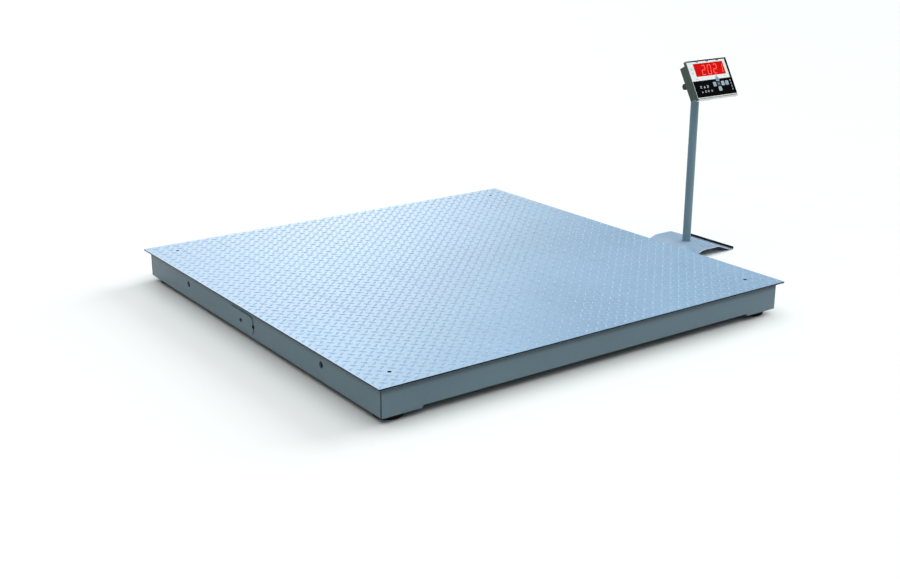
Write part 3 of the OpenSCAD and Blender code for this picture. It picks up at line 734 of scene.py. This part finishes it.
def bent_path(corners, bend):
    """A line through corners in the XZ plane, with a round bend at each inner one."""
    steps = 6
    path = [corners[0]]
    for before, corner, after in zip(corners, corners[1:], corners[2:]):
        way_in = (corner - before).normalized()
        way_out = (after - corner).normalized()
        reach = min(bend, (corner - before).length / 2, (after - corner).length / 2)
        for step in range(steps + 1):
            share = step / steps
            inward = corner - way_in * reach * (1 - share)
            outward = corner + way_out * reach * share
            path.append(inward.lerp(outward, share))
    return path + [corners[-1]]


def stand_base():
    """One bent sheet with rounded cut edges: ramp, flat top, steeper slope and an upturned lip. A dark strip
    in the rubber finish along the lip's top and inner face is painted shade."""
    low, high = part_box("stand_base")
    column_low, column_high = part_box("column_tube")
    column_x = (column_low.x + column_high.x) / 2
    sheet = 3 * MM
    half = sheet / 2
    top = high.z - half
    corners = [Vector(point) for point in (
        (low.x + 1 * MM, 0, low.z + half), (low.x + 12 * MM, 0, low.z + half),
        (column_x - 34 * MM, 0, top), (column_x + 48 * MM, 0, top),
        (high.x - 14 * MM, 0, low.z + half), (high.x - half, 0, low.z + half),
        (high.x - half, 0, low.z + 10 * MM))]
    path = bent_path(corners, 12 * MM)
    outline = round_rect(high.y - low.y, sheet, 0.9 * MM, 3)
    middle_y = (low.y + high.y) / 2
    rings = []
    for i, point in enumerate(path):
        ahead = (path[min(i + 1, len(path) - 1)] - path[max(i - 1, 0)]).normalized()
        up = Vector((-ahead.z, 0, ahead.x))
        rings.append([point + Vector((0, middle_y + y, 0)) + up * z for y, z in outline])
    made = piece("stand_base_sheet", lofted(bmesh.new(), rings), finishes["deck_paint"])
    even_normals(made)
    seated(made, "stand", ["stand_base"])
    # Painted shade: a dark strip in the rubber finish along the lip's top and inner face.
    inner, lap, outer = (high.x - part for part in (sheet + 1.2 * MM, sheet - 0.4 * MM, 0.4 * MM))
    bottom, step, crest = (low.z + part for part in (4 * MM, 9.7 * MM, 11 * MM))
    shade_strip_profile = [(inner, bottom), (lap, bottom), (lap, step), (outer, step), (outer, crest), (inner, crest)]
    ends = (low.y + 0.2 * MM, high.y - 0.2 * MM)
    strip = lofted(bmesh.new(), [[(x, y, z) for x, z in shade_strip_profile] for y in ends])
    seated(piece("base_lip_edging", strip, finishes["rubber"]), "stand")


def column():
    softened("column_tube", 0.8 * MM, column_coat)
    softened("column_head", 0.8 * MM, column_coat)
    low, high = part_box("column_tube")
    radius = (high.x - low.x) / 2
    axis = (low + high) / 2
    bead = 2 * MM
    weld = bmesh.new()
    turned(weld, [(radius - 1 * MM, -bead), (radius + bead, -bead), (radius + bead * 0.8, -bead * 0.2),
                  (radius + bead * 0.3, bead * 0.6), (radius - 1 * MM, bead * 0.9)])
    at_foot = Matrix.Translation((axis.x, axis.y, low.z))
    made = piece("column_foot_weld", weld, finishes["frame_paint"], 60, at_foot)
    seated(made, "stand")


def tilt_knob():
    """A clamping knob with grip bars round its rim and a dished cap."""
    low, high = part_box("tilt_knob")
    centre = (low + high) / 2
    radius = (high.y - low.y) / 2
    length = high.x - low.x
    hub, rim = 7 * MM, radius - 1.4 * MM
    body = bmesh.new()
    turned(body, [
        (4.4 * MM, 0), (hub, 0), (hub, 4 * MM), (radius - 3 * MM, 4.6 * MM),
        (rim, 6 * MM), (rim, length - 2 * MM), (radius - 3 * MM, length - 0.3 * MM),
        (radius - 5 * MM, length), (4 * MM, length - 0.8 * MM)])
    start = bare_mesh("knob_body", body, finishes["black_plastic"])
    values = {
        "Count": 18, "Ring Radius": radius - 1.6 * MM, "Bar Radius": 1.3 * MM, "Low": 5 * MM,
        "High": length - 1.2 * MM, "Finish": finishes["black_plastic"]}
    place = Matrix.Translation((high.x, centre.y, centre.z)) @ Matrix.Rotation(-math.pi / 2, 4, "Y")
    made = grown("tilt_knob_grip", ring_of_bars, values, start, place)
    seated(made, "tilt_knob", ["tilt_knob"])


# ---- indicator -----------------------------------------------------------------------

across = Vector(joints["indicator_tilt"]["axis"])
inward = Vector(joints["key_enter_press"]["axis"]).normalized()
upward = across.cross(inward)


def face_span(node):
    """Lowest and highest corner of a node in the face's own axes: across, inwards, up."""
    points = [vertex.co for vertex in frame["nodes"][node].data.vertices]
    spans = [[point.dot(axis) for point in points] for axis in (across, inward, upward)]
    return Vector([min(span) for span in spans]), Vector([max(span) for span in spans])


face_corner = face_span("front_bezel")[0]
on_face = Matrix((across, inward, upward)).transposed().to_4x4() @ Matrix.Translation(face_corner)


def face_box(node):
    """A node's span measured from the face's lower left corner."""
    low, high = face_span(node)
    return low - face_corner, high - face_corner


film_front = face_box("face_overlay")[0].y
window_low, window_high = face_box("display_window")
window_in = Vector((4 * MM, 0, 4 * MM))
window_low, window_high = window_low + window_in, window_high - window_in
window_centre = (window_low + window_high) / 2


def plate(bm, left, low, right, high, front, thick=0.12 * MM):
    """Adds a thin plate on the face, with its front at this depth."""
    corner = min(0.3 * MM, (right - left) / 2.1, (high - low) / 2.1)
    outline = round_rect(right - left, high - low, corner, 2)
    middle_x, middle_z = (left + right) / 2, (low + high) / 2
    rings = [[(middle_x + x, depth, middle_z + z) for x, z in outline] for depth in (front, front + thick)]
    return lofted(bm, rings)


def polygon_plate(bm, points, front, thick=0.12 * MM):
    return lofted(bm, [[(x, depth, z) for x, z in points] for depth in (front, front + thick)])


def on_indicator(name, bm, material, body="indicator"):
    seated(piece(name, bm, material, place=on_face), body)


def printed_face():
    """The white upper panel round the window, and plain marks in place of any lettering."""
    front = film_front - 0.1 * MM
    left, right, low, high = 2.2 * MM, 189.5 * MM, 69.7 * MM, 140.4 * MM
    gap = 0.5 * MM
    panel = bmesh.new()
    plate(panel, left, low, right, window_low.z - gap, front)
    plate(panel, left, window_high.z + gap, right, high, front)
    plate(panel, left, window_low.z - gap, window_low.x - gap, window_high.z + gap, front)
    plate(panel, window_high.x + gap, window_low.z - gap, right, window_high.z + gap, front)
    on_indicator("white_panel", panel, white_film)

    dark, faint, violet, pale = (bmesh.new() for _ in range(4))
    printed = front - 0.05 * MM
    icon(dark, "bars", 124.5, 78.8, 9, 4, printed)
    icon(faint, "bars", 165.2, 77.2, 9, 3, printed)
    icon(faint, "bars", 29.7, 77.3, 12, 3, printed)
    icon(faint, "frame", 15.5, 114, 8, 9, printed)
    icon(faint, "bars", 16.5, 100, 7, 5, printed)
    for x in (52.6, 102.7, 152.8):
        icon(violet, "tab", x, 139.3, 12, 4.4, printed)
        icon(pale, "bars", x, 141.7, 5, 1.6, front - 0.1 * MM)
    for x, kind in ((34, "frame"), (50.5, "arrow"), (67, "posts")):
        icon(pale, kind, x, 46, 7, 9, front)
    for x, kind in ((34, "arrow"), (50, "bars"), (64, "posts"), (81, "frame")):
        icon(pale, kind, x, 28.5, 6, 7, front)
    for z in range(26, 62, 11):
        icon(pale, "tab", 185, z, 2.6, 7, front)
    on_indicator("panel_marks", dark, mark_ink)
    on_indicator("panel_faint_marks", faint, faint_ink)
    on_indicator("panel_tabs", violet, violet_ink)
    on_indicator("lower_marks", pale, pale_ink)


def icon(bm, kind, x, z, width, height, front):
    """A plain mark of this size in millimetres, in place of a printed symbol."""
    stroke = 1.5
    left, right, low, high = x - width / 2, x + width / 2, z - height / 2, z + height / 2
    strokes = {
        "tab": [(left, low, right, high)],
        "bars": [(left, low, right, low + height * 0.36), (left, high - height * 0.36, right, high)],
        "posts": [(left, low, left + stroke, high), (x - stroke / 2, low, x + stroke / 2, high),
                  (right - stroke, low, right, high)],
        "frame": [(left, low, left + stroke, high), (right - stroke, low, right, high),
                  (left + stroke, low, right - stroke, low + stroke),
                  (left + stroke, high - stroke, right - stroke, high)]}
    if kind == "arrow":
        polygon_plate(bm, [(left * MM, low * MM), (right * MM, low * MM), (x * MM, high * MM)], front)
    for left, low, right, high in strokes.get(kind, ()):
        plate(bm, left * MM, low * MM, right * MM, high * MM, front)


SEGMENTS = {" ": "", "0": "abcdef", "1": "bc", "2": "abged"}
READING = " 2021"


def segment_outline(letter, width, height, bar):
    """The hexagon of one of the seven bars of a digit, round the digit's middle."""
    reach_x, reach_z = width / 2 - bar / 2, height / 2 - bar / 2
    slack = bar * 0.12
    level = {"a": reach_z, "g": 0, "d": -reach_z}
    if letter in level:
        z, end = level[letter], reach_x - slack
        return [(-end, z), (-end + bar / 2, z + bar / 2), (end - bar / 2, z + bar / 2), (end, z),
                (end - bar / 2, z - bar / 2), (-end + bar / 2, z - bar / 2)]
    x = reach_x if letter in "bc" else -reach_x
    low, high = (slack, reach_z - slack) if letter in "bf" else (-reach_z + slack, -slack)
    return [(x, low), (x + bar / 2, low + bar / 2), (x + bar / 2, high - bar / 2), (x, high),
            (x - bar / 2, high - bar / 2), (x - bar / 2, low + bar / 2)]


def digits():
    """Five seven-segment digits behind the window, lit as a plain reading."""
    block_low, block_high = face_box("led_digits")
    block_width = 28 * MM
    pitch = (block_high.x - block_low.x - block_width) / (len(READING) - 1)
    centre = (block_low.x + block_high.x) / 2
    front = block_low.y - 0.15 * MM
    width, height, bar = 19 * MM, 37 * MM, 3.2 * MM
    lean = math.tan(math.radians(9))
    lit, unlit = bmesh.new(), bmesh.new()
    for place, figure in enumerate(READING):
        middle = centre + (place - len(READING) // 2) * pitch
        for letter in "abcdefg":
            outline = segment_outline(letter, width, height, bar)
            points = [(middle + x + z * lean, window_centre.z + z) for x, z in outline]
            polygon_plate(lit if letter in SEGMENTS[figure] else unlit, points, front)
    on_indicator("digits_lit", lit, lit_segment)
    on_indicator("digits_unlit", unlit, dark_segment)


def key_cap(node):
    """A key with a crowned cap, the flange that keeps it in, and its plunger."""
    low, high = face_box(node)
    flange = 1 * MM
    centre = (low + high) / 2
    width, height = high.x - low.x - 2 * flange, high.z - low.z - 2 * flange
    plunger_start = 5.6
    # Each section's growth over the cap, its depth and its corner radius, in millimetres.
    sections = (
        (-5.0, 0.0, 1.5), (-2.0, 0.1, 2.0), (-0.8, 0.35, 2.2), (0.0, 1.0, 2.2), (0.0, 4.4, 2.2),
        (2.0, 4.4, 2.2), (2.0, plunger_start, 2.2))
    rings = []
    for grow, depth, corner in sections:
        outline = round_rect(width + grow * MM, height + grow * MM, corner * MM)
        rings.append([(centre.x + x, depth * MM, centre.z + z) for x, z in outline])
    count = len(rings[0])
    for depth in (plunger_start, high.y / MM):
        rings.append([(centre.x + x, depth * MM, centre.z + y) for x, y, _ in ring(2 * MM, 0, count)])
    made = piece(f"{node}_cap", lofted(bmesh.new(), rings), finishes[slots[node]], 50, on_face)
    seated(made, body_of(node), [node])
    return centre


def glyph(name, centre, outlines, material, body, proud=0.05 * MM):
    """Flat marks just proud of a key's crown."""
    bm = bmesh.new()
    for outline in outlines:
        points = [(centre.x + x * MM, centre.z + z * MM) for x, z in outline]
        polygon_plate(bm, points, -proud, 0.2 * MM)
    on_indicator(name, bm, material, body)


def turned_outline(points, degrees):
    cos, sin = math.cos(math.radians(degrees)), math.sin(math.radians(degrees))
    return [(x * cos - z * sin, x * sin + z * cos) for x, z in points]


def framed(reach, stroke):
    """Four strokes round a square."""
    inner = reach - stroke
    side = [(-reach, inner), (reach, inner), (reach, reach), (-reach, reach)]
    post = [(inner, -inner), (reach, -inner), (reach, inner), (inner, inner)]
    return [turned_outline(outline, turn) for outline in (side, post) for turn in (0, 180)]


def keys():
    arrow = [(0, 3.2), (-2.6, -1.8), (2.6, -1.8)]
    for node, turn in (("key_left", 90), ("key_down", 180), ("key_right", -90)):
        glyph(f"{node}_mark", key_cap(node), [turned_outline(arrow, turn), *framed(5.0, 1.1)], mark_ink, node)
    centre = key_cap("key_up")
    glyph("key_up_tile", centre, [round_rect(11, 11, 2)], blue_ink, "key_up")
    glyph("key_up_mark", centre, [arrow], pale_ink, "key_up", 0.15 * MM)
    bar = [(-3.4, -1), (3.4, -1), (3.4, 1), (-3.4, 1)]
    glyph("key_enter_mark", key_cap("key_enter"), [bar], faint_ink, "key_enter")
    outer, inner = 3.8, 2.7
    start, sweep, steps = 120, 300, 16
    arc = [math.radians(start + sweep * i / steps) for i in range(steps + 1)]
    quads = [[(radius * math.cos(turn), radius * math.sin(turn)) for radius, turn in (
        (outer, a), (outer, b), (inner, b), (inner, a))] for a, b in zip(arc, arc[1:])]
    stroke = [(-0.6, 0.4), (0.6, 0.4), (0.6, 4.4), (-0.6, 4.4)]
    glyph("key_power_mark", key_cap("key_power"), [*quads, stroke, *framed(5.8, 0.9)], mark_ink, "key_power")


def housing_screws():
    """Button-head screws with hexagon sockets in the back of the flange."""
    low, high = face_box("housing_screws")
    stem, head, socket = 1.25 * MM, 2.75 * MM, 1.3 * MM
    front, back = low.y, high.y
    shoulder = back - 2 * MM

    def hexagon(turn):
        return socket / math.cos((turn + math.pi / 6) % (math.pi / 3) - math.pi / 6)

    screw = bmesh.new()
    lofted(screw, [
        ring(stem, front, 24), ring(stem, shoulder, 24), ring(head, shoulder, 24),
        ring(head, back - 1.4 * MM, 24), ring(head * 0.86, back - 0.5 * MM, 24), ring(head * 0.62, back, 24),
        ring(hexagon, back, 24), ring(hexagon, back - 1.2 * MM, 24)])
    steel = slots["housing_screws"]
    start = bare_mesh("one_screw", screw, finishes[steel])
    values = {
        "Width": high.x - low.x - 2 * head, "Height": high.z - low.z - 2 * head,
        "Finish": finishes[steel]}
    middle = (low + high) / 2
    upright = Matrix.Rotation(-math.pi / 2, 4, "X")
    place = on_face @ Matrix.Translation((middle.x, 0, middle.z)) @ upright
    made = grown("housing_screw_set", four_corners, values, start, place)
    seated(made, "indicator", ["housing_screws"])


def face_trim():
    """The light rim of the face: up the left side, and along the bottom with a dark groove in it. The
    printed film runs over the rim at the top and on the right."""
    low, high = face_box("front_bezel")
    film_low, film_high = face_box("face_overlay")
    skin, inset, bite = 0.25 * MM, 0.3 * MM, 0.1 * MM
    thick = skin + bite
    left, right = low.x + inset, high.x - inset
    groove_low, groove_high = film_low.z * 0.36, film_low.z * 0.64
    rim = bmesh.new()
    for foot, top in ((low.z + inset, groove_low), (groove_high, film_low.z - bite)):
        plate(rim, left, foot, right, top, -skin, thick)
    plate(rim, left, film_low.z - bite, film_low.x - bite, film_high.z, -skin, thick)
    underside = ((left, low.z - skin), (right, low.z - skin), (right, low.z + bite), (left, low.z + bite))
    lofted(rim, [[(x, depth, z) for x, z in underside] for depth in (inset, high.y - inset)])
    on_indicator("face_trim", rim, rim_enamel)
    border = bmesh.new()
    lap = 1 * MM
    plate(border, film_low.x, film_high.z - lap, right, high.z - inset, -skin, thick)
    plate(border, film_high.x - lap, film_low.z, right, film_high.z - lap, -skin, thick)
    on_indicator("face_border", border, finishes["overlay_film"])


def indicator_shells():
    for node, width in (
            ("front_bezel", 0.7), ("rear_housing", 1.2), ("face_overlay", 0.2), ("indicator_glands", 0.5)):
        softened(node, width * MM)


# ---- floor, light and camera ---------------------------------------------------------

def floor():
    reach, drop = 60, 0.2 * MM
    bm = bmesh.new()
    signs = ((-1, -1), (1, -1), (1, 1), (-1, 1))
    bm.faces.new([bm.verts.new((x * reach, y * reach, -drop)) for x, y in signs])
    finish = Finish("studio_floor", roughness=0.6, specular_ior_level=0.2)
    tone = finish.noise(3, 2)
    finish.map("Base Color", finish.blend(tone, (0.69, 0.710, 0.700), (0.70, 0.720, 0.710)))
    piece("studio_floor", bm, finish.material)


def studio_world():
    """Soft studio surroundings: bright overhead, a bright card behind on the right, and a dim room."""
    world = bpy.data.worlds.new("studio")
    world.use_nodes = True
    bpy.context.scene.world = world
    graph = Graph(world.node_tree)
    x, y, z = graph.node("ShaderNodeTexCoord", output="Generated").parts()
    card = y.rise(0.69, 0.86) * z.rise(0.60, 0.40) * x.rise(0.12, 0.55)
    overhead = z.rise(0.45, 0.95)
    front = y.rise(0.1, -0.8)
    strength = 0.17 + card * 2.1 + overhead * 1.9 + front * 0.08
    background = world.node_tree.nodes["Background"]
    background.inputs["Color"].default_value = (0.975, 0.99, 1.0, 1)
    graph.plug(background.inputs["Strength"], strength)


def soft_key(azimuth, elevation, spread, power):
    """One broad lamp, far off, that shines from this azimuth (0 is +Y, 90 is +X) and elevation."""
    data = bpy.data.lights.new("key", "SUN")
    data.angle = math.radians(spread)
    data.energy = power
    turn, rise = math.radians(azimuth), math.radians(elevation)
    source = Vector((math.sin(turn) * math.cos(rise), math.cos(turn) * math.cos(rise), math.sin(rise)))
    light = bpy.data.objects.new("key", data)
    light.visible_glossy = False
    light.rotation_euler = source.to_track_quat("Z", "Y").to_euler()
    bpy.context.scene.collection.objects.link(light)


def camera():
    look_down, look_right = 18.41, 35.30
    data = bpy.data.cameras.new("camera")
    data.lens = 50.1
    data.sensor_width = 36
    data.clip_end = 300
    obj = bpy.data.objects.new("camera", data)
    obj.location = (-2.4725, -3.192, 1.3255)
    obj.rotation_euler = (math.radians(90 - look_down), 0, math.radians(-look_right))
    bpy.context.scene.collection.objects.link(obj)
    bpy.context.scene.camera = obj


def studio():
    floor()
    studio_world()
    soft_key(azimuth=86, elevation=21, spread=36, power=3.2)
    bpy.context.scene.view_settings.view_transform = "Standard"


camera()
studio()
platform_shells()
deck_tread()
frame_welds()
for number in range(1, 5):
    foot(number)
stand_base()
column()
tilt_knob()
indicator_shells()
face_trim()
printed_face()
digits()
keys()
housing_screws()
